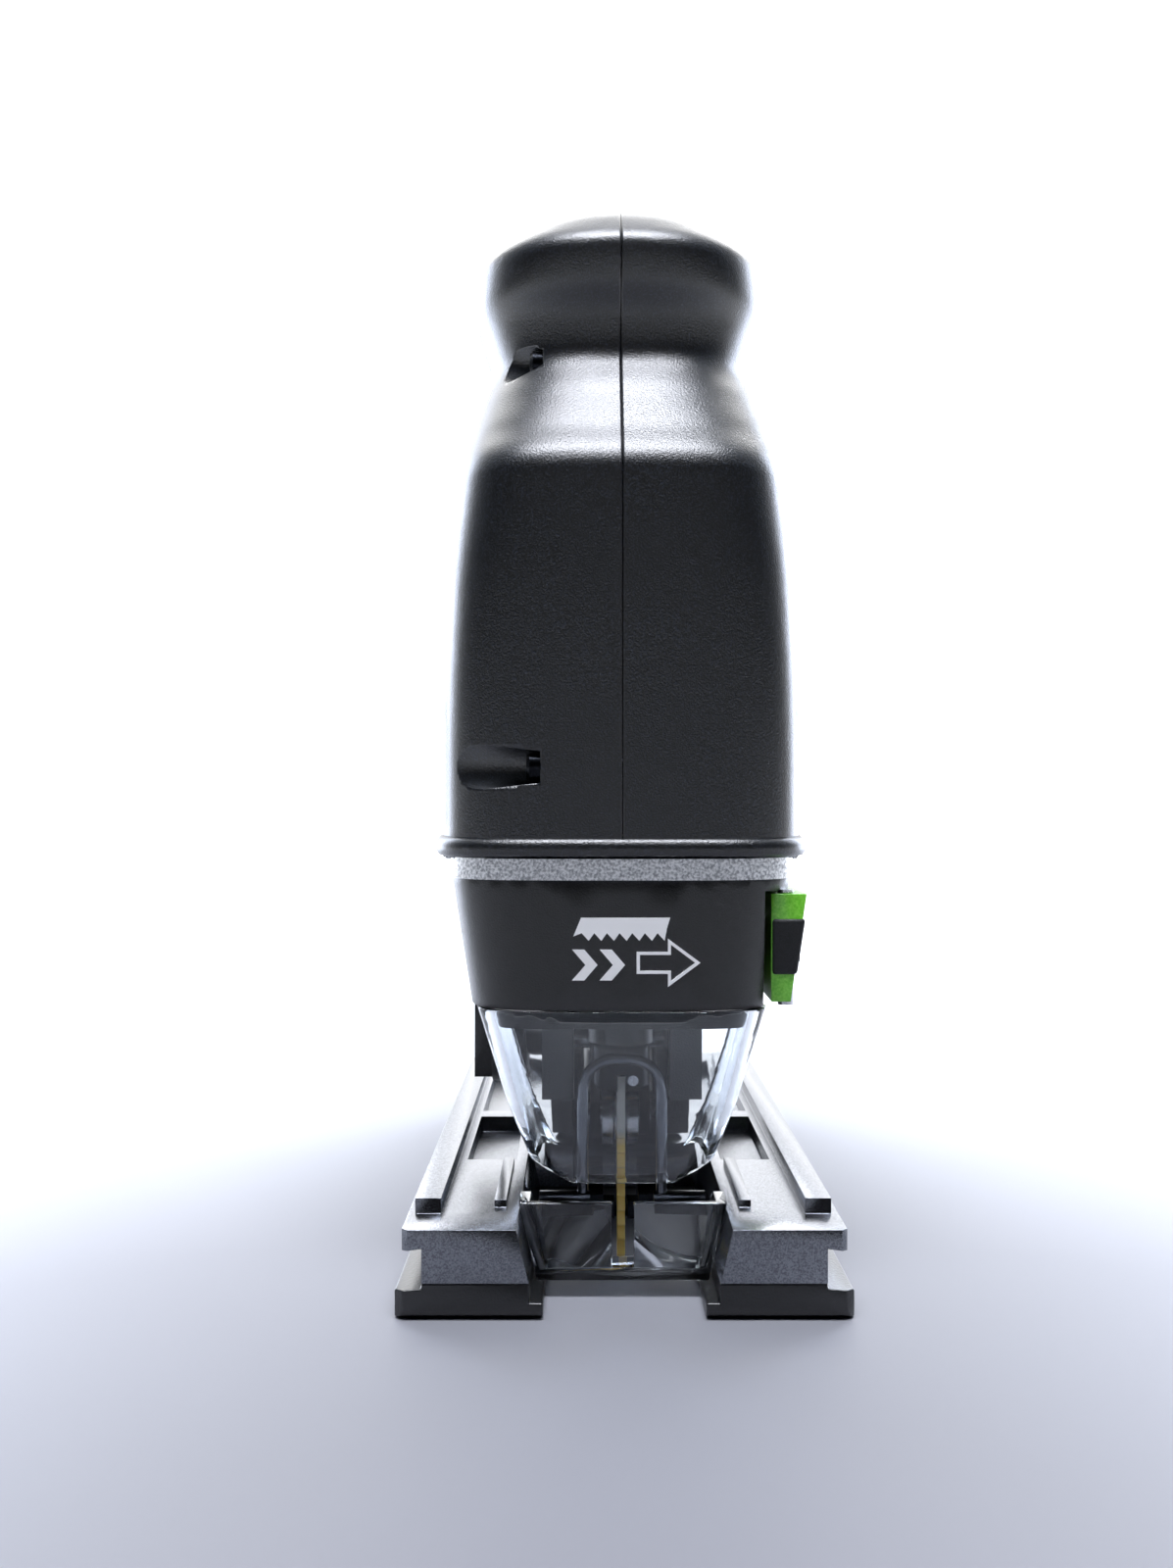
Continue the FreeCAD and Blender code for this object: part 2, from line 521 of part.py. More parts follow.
# ---------------------------------------------------------------- motor
pinion = toothed("pinion_blank", PINION_TEETH, 2.55, 4.3, 0.30, -81, -71, 2.0, z=motor_z)
part("drive_pinion", pinion)
shaft = turned("shaft_body", "Y", [(-81.5, 0), (66, 0), (66, 3), (50, 3), (50, d.shaft_r),
                                   (-70, d.shaft_r), (-70, 2), (-81.5, 2)], z=d.motor_z)
part("armature_shaft", shaft)
part("front_bearing", tube("bearing_front", "Y", 8, d.shaft_r + d.running_fit, -64.5, -57.5, z=d.motor_z))
part("rear_bearing", tube("bearing_rear", "Y", 9.5, 3 + d.running_fit, 51, 58, z=d.motor_z))
core_front, core_rear = float(d.stator_front), float(d.stator_rear)
core = toothed("core_blank", 12, 9.0, float(d.core_r), 0.5, core_front, core_rear, float(d.shaft_r),
               z=motor_z)
part("armature_core", core)
winding = []
for low, high in ((core_front - 7, core_front), (core_rear, core_rear + 6)):
    winding.append(turned(f"winding_{len(winding)}", "Y", [
        (low, 4), (high, 4), (high, 16.2), (low + 2.5, 16.2), (low, 13)], z=d.motor_z))
part("armature_windings", fuse("windings", *winding))
bars = toothed("bars", 24, 9.4, 10.2, 0.4, 24, 42, float(d.shaft_r), z=motor_z)
part("commutator", bars)
hub = turned("fan_hub", "Y", [(-50, 4), (-41, 4), (-41, 9), (-43.5, 22), (-45.5, 22), (-45.5, 8), (-50, 8)],
             z=d.motor_z)
vanes = []
for i in range(12):
    vane = doc.addObject("Part::Box", f"vane_{i}")
    vane.Length, vane.Width, vane.Height = 1.4, 5.5, 14
    turn = FreeCAD.Rotation(VECTOR(0, 1, 0), 30 * i)
    vane.Placement = FreeCAD.Placement(VECTOR(0, 0, motor_z) + turn.multVec(VECTOR(-0.7, -50, 7.5)), turn)
    vanes.append(vane)
part("cooling_fan", fuse("fan", hub, *vanes))

stator_ring = tube("stator_ring", "Y", d.stator_r, d.core_r + 0.7, core_front, core_rear, z=d.motor_z)
coil_ways = [block(f"coil_way_{s}", (-30, 30), (core_front - 1, core_rear + 1),
                   (min(s * 9, s * 14) + motor_z, max(s * 9, s * 14) + motor_z)) for s in (-1, 1)]
coil_zone = tube("coil_zone", "Y", 23.5, 18.2, core_front - 2, core_rear + 2, z=d.motor_z)
coil_cut = common("coil_cut", fuse("coil_ways", *coil_ways), coil_zone)
part("stator_core", cut("stator", stator_ring, coil_cut))
coil_ring = tube("coil_ring", "Y", 23.3, 18.3, core_front - 6, core_rear + 6, z=d.motor_z)
coil_box = [block(f"coil_box_{s}", (-30, 30), (core_front - 7, core_rear + 7),
                  (min(s * 9.2, s * 13.8) + motor_z, max(s * 9.2, s * 13.8) + motor_z)) for s in (-1, 1)]
part("stator_windings", common("coils", coil_ring, fuse("coil_boxes", *coil_box)))

holders, brushes = [], []
for s in (-1, 1):
    near, far = sorted((11.2 * s, 27 * s))
    body = block(f"holder_body_{s}", (near, far), (28.5, 37.5), (motor_z - 5, motor_z + 5))
    way = block(f"holder_way_{s}", (near - 1, far + 1), (30, 36), (motor_z - 3, motor_z + 3))
    holders.append(cut(f"holder_{s}", body, way))
    near, far = sorted((10.5 * s, 22 * s))
    brushes.append(block(f"brush_{s}", (near, far), (30.1, 35.9), (motor_z - 2.9, motor_z + 2.9)))
part("brush_holders", fuse("holder_pair", *holders))
part("carbon_brushes", fuse("brush_pair", *brushes))

# ---------------------------------------------------------------- switch, speed control, inlet
slider = fuse("slider_body", prism("slider_top", "XY", [(34.2, -13), (35.4, -15.5), (36.6, -15.5),
                                                        (38.2, -12),
                                                        (36.8, 0), (38.2, 8), (36.0, 9.5), (34.2, 8)],
                                   motor_z - 6.5, motor_z + 6.5),
              block("slider_stem", (27, 34.4), (-9, -1), (motor_z - 4, motor_z + 4)))
part("switch_slider", slider)
part("switch_block", block("switch_case", (6, 18), (68, 90), (motor_z - 14, motor_z - 4)))
part("electronics_module", block("electronics", (-20, 4), (68, 93), (motor_z - 16, motor_z + 6)))
dial = toothed("dial_wheel", 30, DIAL_R - 0.6, DIAL_R, 0.3, -3, 3, 2.05)
dial.Placement = FreeCAD.Placement(VECTOR(0, DIAL_Y, DIAL_Z), FreeCAD.Rotation(VECTOR(0, 0, 1), 90))
part("speed_dial", dial)
part("dial_pin", rod("dial_axle", "X", 2, -6, 6, y=DIAL_Y, z=DIAL_Z))
part("power_inlet", turned("inlet", "Y", [
    (104, 0), (104, 13), (119.5, 13), (119.5, 14.5), (d.tail, 14.5), (d.tail, 10.5), (110, 10.5), (110, 0)],
    z=125))
pins = [rod(f"pin_{s}", "Y", 2.0, 110, 121, x=4.5 * s, z=125) for s in (-1, 1)]
part("inlet_pins", fuse("pin_pair", *pins))

# ---------------------------------------------------------------- pendulum drive
ROLLER_Y = d.blade_back + d.apart + d.roller_r
arm_y, arm_z = float(ROLLER_Y), float(d.roller_z)
cheeks = []
for s in (-1, 1):
    near, far = sorted((3.9 * s, 5.9 * s))
    cheeks.append(prism(f"arm_{'l' if s < 0 else 'r'}", "YZ", [
        (arm_y - 2.6, arm_z - 2.6), (arm_y + 2.6, arm_z - 2.6), (-74.5, 39), (-74.5, 44.5), (-81.5, 44.5),
        (arm_y - 2.6, arm_z + 2.6)], near, far))
yoke_block = block("arm_yoke", (-3.9, 3.9), (-81, -75), (37.5, 44.5))
arm = cut("arm", fuse("arm_body", yoke_block, *cheeks),
          rod("arm_bore", "X", 2.05, -10, 10, y=d.hinge_y, z=d.hinge_z),
          rod("roller_pin_bore", "X", 1.5, -10, 10, y=ROLLER_Y, z=d.roller_z))
part("pendulum_arm", arm)
part("pendulum_pin", rod("arm_pin", "X", 2, -d.foot_half, d.foot_half, y=d.hinge_y, z=d.hinge_z))
part("pendulum_roller", turned("roller", "X", [
    (-3.5, 1.55), (3.5, 1.55), (3.5, 5.7), (1.4, 5.7), (1.1, 5.1), (-1.1, 5.1), (-1.4, 5.7), (-3.5, 5.7)],
    y=ROLLER_Y, z=d.roller_z))
part("roller_pin", rod("roller_axle", "X", 1.5, -6.2, 6.2, y=ROLLER_Y, z=d.roller_z))
knob = fuse("selector_body", rod("selector_shaft", "X", 3, -24, -9.8, y=-55, z=36),
            rod("selector_knob", "X", 8, -27, -22, y=-55, z=36),
            block("selector_grip", (-31, -27), (-57, -53), (29, 46)))
part("pendulum_selector", knob)

jaws = []
for s in (-1, 1):
    outer_x = sorted((3.4 * s, 7 * s))
    inner_x = sorted((1.25 * s, 3.5 * s))
    jaws.append(block(f"jaw_front_{s}", outer_x, (-97, -82), (9.6, 14.2)))
    jaws.append(block(f"jaw_back_{s}", outer_x, (-90.9, -82), (14, 18)))
    jaws.append(block(f"jaw_tip_{s}", inner_x, (-97, -92), (9.6, 12.8)))
    jaws.append(block(f"jaw_arm_{s}", sorted((5.4 * s, 9.5 * s)), (-88, -82), (14, 18)))
    jaws.append(block(f"jaw_post_{s}", sorted((7.4 * s, 9.5 * s)), (-88, -82), (14, 40)))
part("guide_jaws", fuse("jaw_pair", *jaws))

# ---------------------------------------------------------------- sole
table_plan = [
    (d.table_slot, d.sole_front), (d.table_half - 1, d.sole_front), (d.table_half, d.sole_front + 1),
    (d.table_half, d.sole_rear - 6), (d.table_half - 6, d.sole_rear), (-d.table_half + 6, d.sole_rear),
    (-d.table_half, d.sole_rear - 6), (-d.table_half, d.sole_front + 1), (-d.table_half + 1, d.sole_front),
    (-d.table_slot, d.sole_front), (-d.table_slot, d.slot_rear), (d.table_slot, d.slot_rear)]
plate = prism("table_plate", "XY", table_plan, d.shoe_top, d.table_top)
slot_flare = prism("slot_flare", "XZ", wedge(d.table_slot, d.table_slot_top, d.shoe_top, d.table_top),
                   d.sole_front - 1, d.slot_rear)
lips = [prism(f"lip_{i}", "XZ", [(s * (d.table_half + 1), 5), (s * d.foot_rim, 5), (s * d.foot_rim, 12.4),
                                 (s * (d.table_half + 1), 11.8)],
              d.sole_front - 1, d.sole_rear + 1) for i, s in enumerate((-1, 1))]
pockets = [block(f"pocket_{i}", x, y, (12.2, 20)) for i, (x, y) in enumerate(
    [((-31, -16.8), (-30, 30)), ((16.8, 31), (-30, 30)), ((-14, 14), (-8, 30)),
     ((-31, -21), (-76, -36)), ((21, 31), (-76, -36))])]
saddle = common("saddle", rod("saddle_round", "Y", d.saddle, d.saddle_front, d.saddle_rear),
                block("saddle_zone", (-d.saddle_half, d.saddle_half),
                      (d.saddle_front, d.saddle_rear), (8, 25)))
rails = [block(f"rail_{i}", sorted((s * d.rail_in, s * d.rail_out), key=float), (d.sole_front + 10, 24),
               (d.table_top - 1, d.rail_top)) for i, s in enumerate((-1, 1))]
ribs = [block(f"rib_{i}", sorted((s * 21.2, s * 23.4), key=float), (d.sole_front + 14, -80),
              (d.table_top - 1, d.table_top + 1.4)) for i, s in enumerate((-1, 1))]
well = rod("saddle_well", "Y", d.saddle - d.saddle_wall, d.saddle_front + 3, d.saddle_rear - 3)
tilt_slot = block("tilt_slot", (-8.8, 8.8), (-38, -32), (10, 30))
table = cut("table", fuse("table_body", plate, saddle, *rails, *ribs), slot_flare, *lips, *pockets, well,
            tilt_slot)
part("base_table", table)

shoe_plan = [
    (d.shoe_slot, d.sole_front), (d.shoe_half - 1.5, d.sole_front), (d.shoe_half, d.sole_front + 1.5),
    (d.shoe_half, d.sole_rear - 6), (d.shoe_half - 6, d.sole_rear), (-d.shoe_half + 6, d.sole_rear),
    (-d.shoe_half, d.sole_rear - 6), (-d.shoe_half, d.sole_front + 1.5), (-d.shoe_half + 1.5, d.sole_front),
    (-d.shoe_slot, d.sole_front), (-d.shoe_slot, d.slot_rear), (d.shoe_slot, d.slot_rear)]
shoe_plate = prism("shoe_plate", "XY", shoe_plan, 0, d.shoe_top)
step = block("shoe_ledge", (-d.shoe_step, d.shoe_step), (d.sole_front - 1, d.slot_rear), (d.ledge_top, 10))
ski = prism("ski", "YZ", [(d.sole_front - 1, -1), (d.sole_front + 3, -1), (d.sole_front + 2.2, 0),
                          (d.sole_front + 0.6, 0.6), (d.sole_front, 2.0), (d.sole_front - 1, 2.0)], -50, 50)
flanges = [prism(f"flange_{i}", "XZ", [(s * d.foot_rim, d.shoe_top + 1), (s * d.foot_rim, d.flange_top + 0.5),
                                       (s * (d.shoe_half + 1), d.flange_top),
                                       (s * (d.shoe_half + 1), d.shoe_top + 1)],
                 d.sole_front - 1, d.sole_rear + 1) for i, s in enumerate((-1, 1))]
part("sliding_shoe", cut("shoe", shoe_plate, step, ski, *flanges))

win_low, win_high = 3.1, 17.0
lean_in = 0.2366
outside = [(-15.6, win_low), (15.6, win_low), (15.6 + lean_in * 13.9, win_high),
           (-15.6 - lean_in * 13.9, win_high)]
window = prism("window_body", "XZ", outside, -113.2, -104.8)
window_room = prism("window_room", "XZ", wedge(13.9, 13.9 + lean_in * 14, win_low + 1.8, win_high + 1.8),
                    -111.4, -104)
window_slot = block("window_slot", (-2, 2), (-114, -111), (5.4, 18))
part("base_window", cut("window", window, window_room, window_slot))
clips = []
for i, s in enumerate((-1, 1)):
    clip = rod(f"clip_{i}", "X", 2.4, min(5.9 * s, 15.3 * s), max(5.9 * s, 15.3 * s), y=d.wire_y, z=15)
    clips.append(cut(f"clip_bored_{i}", clip, rod(f"clip_bore_{i}", "Z", d.wire_r, 13.5, 20,
                                                  x=s * d.wire_half, y=d.wire_y)))
part("window_clips", fuse("clip_pair", *clips))

clamp_top = rod("block_round", "Y", d.saddle - d.saddle_wall - d.apart, -50, -20)
clamp_zone = block("block_zone", (-10, 10), (-50, -20), (12, 20))
part("base_clamp_block", cut("clamp_block", common("block_arc", clamp_top, clamp_zone),
                             rod("block_bore", "Z", 2.5, 5, 30, y=-35)))
part("base_clamp_screw", turned("clamp_bolt", "Z", [
    (12, 0), (12, 2.5), (46, 2.5), (46, 4.2), (50.5, 4.2), (50.5, 0)], y=-35))

# ---------------------------------------------------------------- dust outlet
chute_box = block("chute_box", (-8.8, 8.8), (-70, d.foot_rear), (27, 47))
chute_pipe = rod("chute_pipe", "Y", 15.5, d.foot_rear, 18, z=38)
chute_rooms = [block("chute_room", (-7.2, 7.2), (-72, -9), (28.6, 45.4)),
               rod("chute_bore", "Y", 13.5, -10, 20, z=38),
               rod("chute_screw_way", "Z", 4.6, 20, 60, y=-35)]
part("dust_chute", cut("chute", fuse("chute_body", chute_box, chute_pipe), *chute_rooms))

# ---------------------------------------------------------------- check and write
doc.recompute()
for obj in doc.Objects:
    if "Invalid" in obj.State or "Error" in obj.State:
        raise RuntimeError(f"{obj.Name} failed: {obj.State}")
os.makedirs("parts", exist_ok=True)
for node, obj in PARTS.items():
    shape = obj.Shape
    if shape.isNull() or not shape.isValid() or not shape.Solids:
        raise RuntimeError(f"{node} has no valid solid")
    shape.exportStep(f"parts/{node}.step")
    print(f"{node}: {len(shape.Solids)} solid(s), {shape.Volume / 1000:.2f} cm3")
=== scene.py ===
import math

import bmesh
import bpy
import numpy as np
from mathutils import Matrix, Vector


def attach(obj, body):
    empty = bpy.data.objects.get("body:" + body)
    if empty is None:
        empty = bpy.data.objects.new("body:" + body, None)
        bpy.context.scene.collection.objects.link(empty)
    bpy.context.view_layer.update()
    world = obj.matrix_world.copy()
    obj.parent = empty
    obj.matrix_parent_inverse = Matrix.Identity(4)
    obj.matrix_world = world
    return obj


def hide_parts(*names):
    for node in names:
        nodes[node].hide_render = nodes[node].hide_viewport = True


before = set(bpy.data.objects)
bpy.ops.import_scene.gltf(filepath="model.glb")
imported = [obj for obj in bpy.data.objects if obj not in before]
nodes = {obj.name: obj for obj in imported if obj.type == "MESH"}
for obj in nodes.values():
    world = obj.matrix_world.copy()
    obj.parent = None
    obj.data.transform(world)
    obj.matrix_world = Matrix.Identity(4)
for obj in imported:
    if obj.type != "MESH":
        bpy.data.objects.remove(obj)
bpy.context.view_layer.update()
MM = 0.001

# ---- Camera and stage -------------------------------------------------------------------------
# A level camera a forearm's length in front of the sole, with a short lens, so the near sole looks wide.
# The table is a pale sweep that rises softly into a white backdrop; its colour holds painted shade, darker round
# the tool and towards the camera, and a painted glow that brightens the far backdrop.
camera_data = bpy.data.cameras.new("camera")
camera_data.lens = 34.5
camera_data.sensor_width = 36
camera = bpy.data.objects.new("camera", camera_data)
camera.location = (-6.6 * MM, -385 * MM, 92.9 * MM)
camera.rotation_euler = (math.radians(90), 0, 0)
bpy.context.collection.objects.link(camera)
bpy.context.scene.camera = camera


def linear(hex_colour):
    """An sRGB hex colour as the linear RGBA that a shader socket takes."""
    channels = [int(hex_colour[i:i + 2], 16) / 255 for i in (1, 3, 5)]
    return tuple(c / 12.92 if c <= 0.04045 else ((c + 0.055) / 1.055) ** 2.4 for c in channels) + (1.0,)


def add_node(tree, kind, settings=None, inputs=None):
    """One node with its settings; an input is a value or another node's output socket."""
    node = tree.nodes.new(kind)
    for name, value in (settings or {}).items():
        setattr(node, name, value)
    for name, value in (inputs or {}).items():
        socket = node.inputs[name]
        if isinstance(value, bpy.types.NodeSocket):
            tree.links.new(value, socket)
        else:
            socket.default_value = value
    return node


def new_material(name, **shader):
    """A material with one Principled shader; returns the material, its tree and the shader node."""
    material = bpy.data.materials.new(name)
    material.use_nodes = True
    tree = material.node_tree
    principled = tree.nodes["Principled BSDF"]
    for socket, value in shader.items():
        socket = principled.inputs[socket.replace("_", " ")]
        if isinstance(value, str):
            value = linear(value)
        socket.default_value = value
    return material, tree, principled


def object_coords(tree, scale=(1, 1, 1)):
    coords = add_node(tree, "ShaderNodeTexCoord")
    return add_node(tree, "ShaderNodeMapping", inputs={"Vector": coords.outputs["Object"], "Scale": scale})


def grain_bump(tree, principled, size_mm, depth_mm, strength=1.0, detail=3.0, scale=(1, 1, 1)):
    """Fine surface grain: noise whose cells are size_mm wide, as a bump depth_mm deep."""
    noise = add_node(tree, "ShaderNodeTexNoise", inputs={
        "Vector": object_coords(tree, scale).outputs["Vector"], "Scale": 1 / (size_mm * MM), "Detail": detail})
    bump = add_node(tree, "ShaderNodeBump", inputs={
        "Height": noise.outputs["Fac"], "Distance": depth_mm * MM, "Strength": strength})
    tree.links.new(bump.outputs["Normal"], principled.inputs["Normal"])
    return noise


def ramp(tree, factor, stops):
    """A colour ramp from (position, hex) stops."""
    node = add_node(tree, "ShaderNodeValToRGB", inputs={"Fac": factor})
    elements = node.color_ramp.elements
    while len(elements) < len(stops):
        elements.new(0.5)
    for element, (position, colour) in zip(elements, stops):
        element.position = position
        element.color = linear(colour)
    return node


def new_piece(name, verts_mm, faces, material, smooth=True):
    """A mesh object at the origin from corners in millimetres."""
    mesh = bpy.data.meshes.new(name)
    mesh.from_pydata([[c * MM for c in v] for v in verts_mm], [], faces)
    mesh.validate()
    mesh.materials.append(material)
    mesh.polygons.foreach_set("use_smooth", [smooth] * len(mesh.polygons))
    obj = bpy.data.objects.new(name, mesh)
    bpy.context.collection.objects.link(obj)
    return obj


def sweep_stage():
    """The table and its backdrop: one sheet, flat, then curved up, with painted shade near the tool and a
    painted glow far off.
    """
    profile = [(-2600, -0.02), (700, -0.02)]
    for i in range(1, 17):
        angle = math.radians(90 * i / 16)
        profile.append((700 + 500 * math.sin(angle), 500 * (1 - math.cos(angle))))
    profile.append((1200, 2600))
    verts = [(x, y, z) for y, z in profile for x in (-2600, 2600)]
    faces = [(2 * i, 2 * i + 1, 2 * i + 3, 2 * i + 2) for i in range(len(profile) - 1)]
    material, tree, principled = new_material("pale_table_painted_shade_and_glow", Roughness=0.6, Specular_IOR_Level=0.2,
                                              Emission_Color="#FFFFFF")
    away = add_node(tree, "ShaderNodeVectorMath", {"operation": "DISTANCE"})
    tree.links.new(object_coords(tree).outputs["Vector"], away.inputs[0])
    away.inputs[1].default_value = (0, -250 * MM, 0)
    painted_shade_share = add_node(tree, "ShaderNodeMapRange", inputs={"Value": away.outputs["Value"], "From Max": 1200 * MM})
    # painted shade: the floor's colour is darker near the camera and the tool and pales with distance
    tint = ramp(tree, painted_shade_share.outputs["Result"], [(0.0, "#74747A"), (0.15, "#8E8F95"), (0.3, "#BDBFC5"),
                                                (0.5, "#E8EAEE"), (1.0, "#FFFFFF")])
    tree.links.new(tint.outputs["Color"], principled.inputs["Base Color"])
    # painted light: the sweep glows more the farther it lies, brightening the backdrop
    painted_glow = add_node(tree, "ShaderNodeMapRange", inputs={
        "Value": away.outputs["Value"], "From Min": 450 * MM, "From Max": 1300 * MM, "To Max": 0.95})
    tree.links.new(painted_glow.outputs["Result"], principled.inputs["Emission Strength"])
    return new_piece("table_sweep", verts, faces, material)


sweep_stage()

# The room is bright above and behind and dark behind the camera, so that gloss keeps a black front.
world = bpy.data.worlds.new("studio")
world.use_nodes = True
tree = world.node_tree
background = tree.nodes["Background"]
direction = add_node(tree, "ShaderNodeTexCoord")
lean = add_node(tree, "ShaderNodeVectorMath", {"operation": "DOT_PRODUCT"})
tree.links.new(direction.outputs["Generated"], lean.inputs[0])
lean.inputs[1].default_value = (0, 0.82, 0.57)
room = ramp(tree, lean.outputs["Value"], [(0.0, "#08090B"), (0.12, "#4A515C"), (0.4, "#AAB3C1")])
seen = add_node(tree, "ShaderNodeLightPath")
shown = add_node(tree, "ShaderNodeMix", {"data_type": "RGBA"})
tree.links.new(seen.outputs["Is Camera Ray"], shown.inputs[0])
tree.links.new(room.outputs["Color"], shown.inputs[6])
shown.inputs[7].default_value = linear("#FFFFFF")
tree.links.new(shown.outputs[2], background.inputs["Color"])
background.inputs["Strength"].default_value = 1.0
bpy.context.scene.world = world
bpy.context.scene.view_settings.view_transform = "Standard"


def softbox(name, place_mm, aim_mm, size_mm, watts, colour):
    """A rectangular studio lamp aimed at a point; lengths in millimetres."""
    data = bpy.data.lights.new(name, "AREA")
    data.shape = "RECTANGLE"
    data.size, data.size_y = size_mm[0] * MM, size_mm[1] * MM
    data.energy = watts
    data.color = linear(colour)[:3]
    light = bpy.data.objects.new(name, data)
    light.location = Vector(place_mm) * MM
    aim = (Vector(aim_mm) - Vector(place_mm)).to_track_quat("-Z", "Y")
    light.rotation_euler = aim.to_euler()
    bpy.context.collection.objects.link(light)


softbox("top_box", (0, -250, 760), (0, -90, 150), (400, 230), 8, "#F3F6FF")
softbox("back_box", (0, 420, 620), (0, -60, 60), (700, 260), 3.5, "#FFFFFF")
softbox("left_strip", (-420, 420, 200), (0, -60, 120), (160, 600), 3.4, "#DCE8FF")
softbox("right_strip", (420, 420, 200), (0, -60, 120), (160, 600), 3.4, "#DCE8FF")
softbox("backdrop_wash", (0, 500, 1300), (0, 1200, 500), (1600, 500), 10, "#FFFFFF")

# ---- Housing halves ---------------------------------------------------------------------------
# Two moulded halves of black glass-filled nylon, screwed together from the left along the middle plane.
# The tower carries a mushroom head for the front hand, and the barrel behind it holds the motor.


def nylon(name, dark, light, grain_mm, rough):
    """Spark-eroded black nylon: a fine leather-like grain whose raised tips are painted blue-grey, a painted
    highlight for the light they catch.
    """
    material, tree, principled = new_material(name, Roughness=rough, IOR=1.53, Specular_IOR_Level=0.8)
    noise = grain_bump(tree, principled, grain_mm, 0.12, strength=0.7)
    # painted highlight: the raised tips of the grain get a lighter blue-grey colour
    tint = ramp(tree, noise.outputs["Fac"], [(0.5, dark), (0.76, light)])
    tree.links.new(tint.outputs["Color"], principled.inputs["Base Color"])
    return material


BLACK_NYLON = nylon("black_glass_filled_nylon", "#020304", "#262C37", 0.36, 0.33)
FRONT = -112.0
TOWER = [  # height, half width, front, rear, squareness
    (78.8, 34.7, FRONT, -40, 4.6), (100, 34.9, FRONT, -36, 4.6),
    (130, 34.1, FRONT - 0.3, -30, 4.4), (151, 32.4, FRONT - 0.5, -24, 4.0)]
HEAD = [  # the same from the crease up: in to the neck, out to the nose and over the crown
    (149, 32.4, FRONT + 0.8, -24.3, 4.0), (151.2, 32.3, FRONT - 0.3, -24, 4.0), (160, 30.5, -107, -23, 3.6),
    (168, 28.6, -101.7, -22, 3.2), (176.5, 26.4, -97, -24, 3.0), (183, 27.8, -98, -28, 2.8),
    (189, 29.5, -101, -33, 2.6), (195, 28.8, -102, -39, 2.5), (200, 24.8, -98.5, -47, 2.4),
    (204.5, 16.5, -92, -58, 2.3), (206.8, 5, -83, -68, 2.2)]
BARREL = [  # distance back, half width, bottom, top, squareness
    (-60, 32.0, 88, 156, 2.6), (-20, 33.5, 88, 156, 2.6), (20, 32.5, 90, 156, 2.5), (60, 31.0, 92.5, 155.5, 2.4),
    (95, 29.5, 95, 155, 2.4), (110, 27.0, 97.5, 152.5, 2.3), (117, 22.0, 102.5, 147.5, 2.2),
    (119, 15.0, 110, 140, 2.1)]


def smooth_rows(rows, steps):
    """Rows read along a smooth line through the given ones, without overshoot."""
    rows = np.array(rows, float)
    along = np.concatenate([[0], np.cumsum(np.linalg.norm(np.diff(rows[:, :4], axis=0), axis=1))])
    gap = np.diff(along)[:, None]
    slope = np.diff(rows, axis=0) / gap
    lean = np.zeros_like(rows)
    same = slope[:-1] * slope[1:] > 0
    both = np.where(same, slope[:-1] + slope[1:], 1.0)
    lean[1:-1] = np.where(same, 2 * slope[:-1] * slope[1:] / both, 0.0)
    lean[0], lean[-1] = slope[0], slope[-1]
    read = np.linspace(0, along[-1], steps)
    cell = np.clip(np.searchsorted(along, read, side="right") - 1, 0, len(rows) - 2)
    t = ((read - along[cell]) / gap[cell, 0])[:, None]
    width = gap[cell]
    return ((1 + 2 * t) * (1 - t) ** 2 * rows[cell] + t * (1 - t) ** 2 * width * lean[cell]
            + t * t * (3 - 2 * t) * rows[cell + 1] + t * t * (t - 1) * width * lean[cell + 1])


def ring_points(level, half, low, high, squareness, count, upright):
    """A rounded rectangle: across X, and across Y at a height or across Z at a distance back."""
    points = []
    for i in range(count):
        angle = 2 * math.pi * i / count
        across = math.copysign(abs(math.cos(angle)) ** (2 / squareness), math.cos(angle)) * half
        other = math.copysign(abs(math.sin(angle)) ** (2 / squareness), math.sin(angle))
        other = (low + high) / 2 + (high - low) / 2 * other
        points.append((across, other, level) if upright else (across, level, other))
    return points


AROUND = 112  # corners round each section of the skin


def loft_mesh(name, rows, steps, upright):
    """A closed skin over rounded sections."""
    verts, faces = [], []
    for row in smooth_rows(rows, steps):
        verts += ring_points(*row, AROUND, upright)
    for r in range(steps - 1):
        for i in range(AROUND):
            j = (i + 1) % AROUND
            faces.append((r * AROUND + i, r * AROUND + j, (r + 1) * AROUND + j, (r + 1) * AROUND + i))
    faces.append(tuple(range(AROUND)))
    faces.append(tuple(range((steps - 1) * AROUND, steps * AROUND)))
    piece = new_piece(name, verts, faces, BLACK_NYLON)
    outward(piece)
    return piece


def outward(piece):
    """Faces turned to point out of a closed piece."""
    work = bmesh.new()
    work.from_mesh(piece.data)
    bmesh.ops.recalc_face_normals(work, faces=work.faces)
    work.to_mesh(piece.data)
    work.free()


def apply_all(piece):
    """The piece's modifiers, turned into its plain mesh."""
    bpy.context.view_layer.update()
    evaluated = piece.evaluated_get(bpy.context.evaluated_depsgraph_get())
    mesh = bpy.data.meshes.new_from_object(evaluated)
    piece.modifiers.clear()
    piece.data = mesh
    return piece


def boolean(piece, other, operation):
    """The piece joined with, cut by or kept inside another, which is then removed."""
    modifier = piece.modifiers.new("join", "BOOLEAN")
    modifier.object, modifier.operation, modifier.solver = other, operation, "EXACT"
    apply_all(piece)
    bpy.data.objects.remove(other)
    return piece


ROD_SIDES = 40


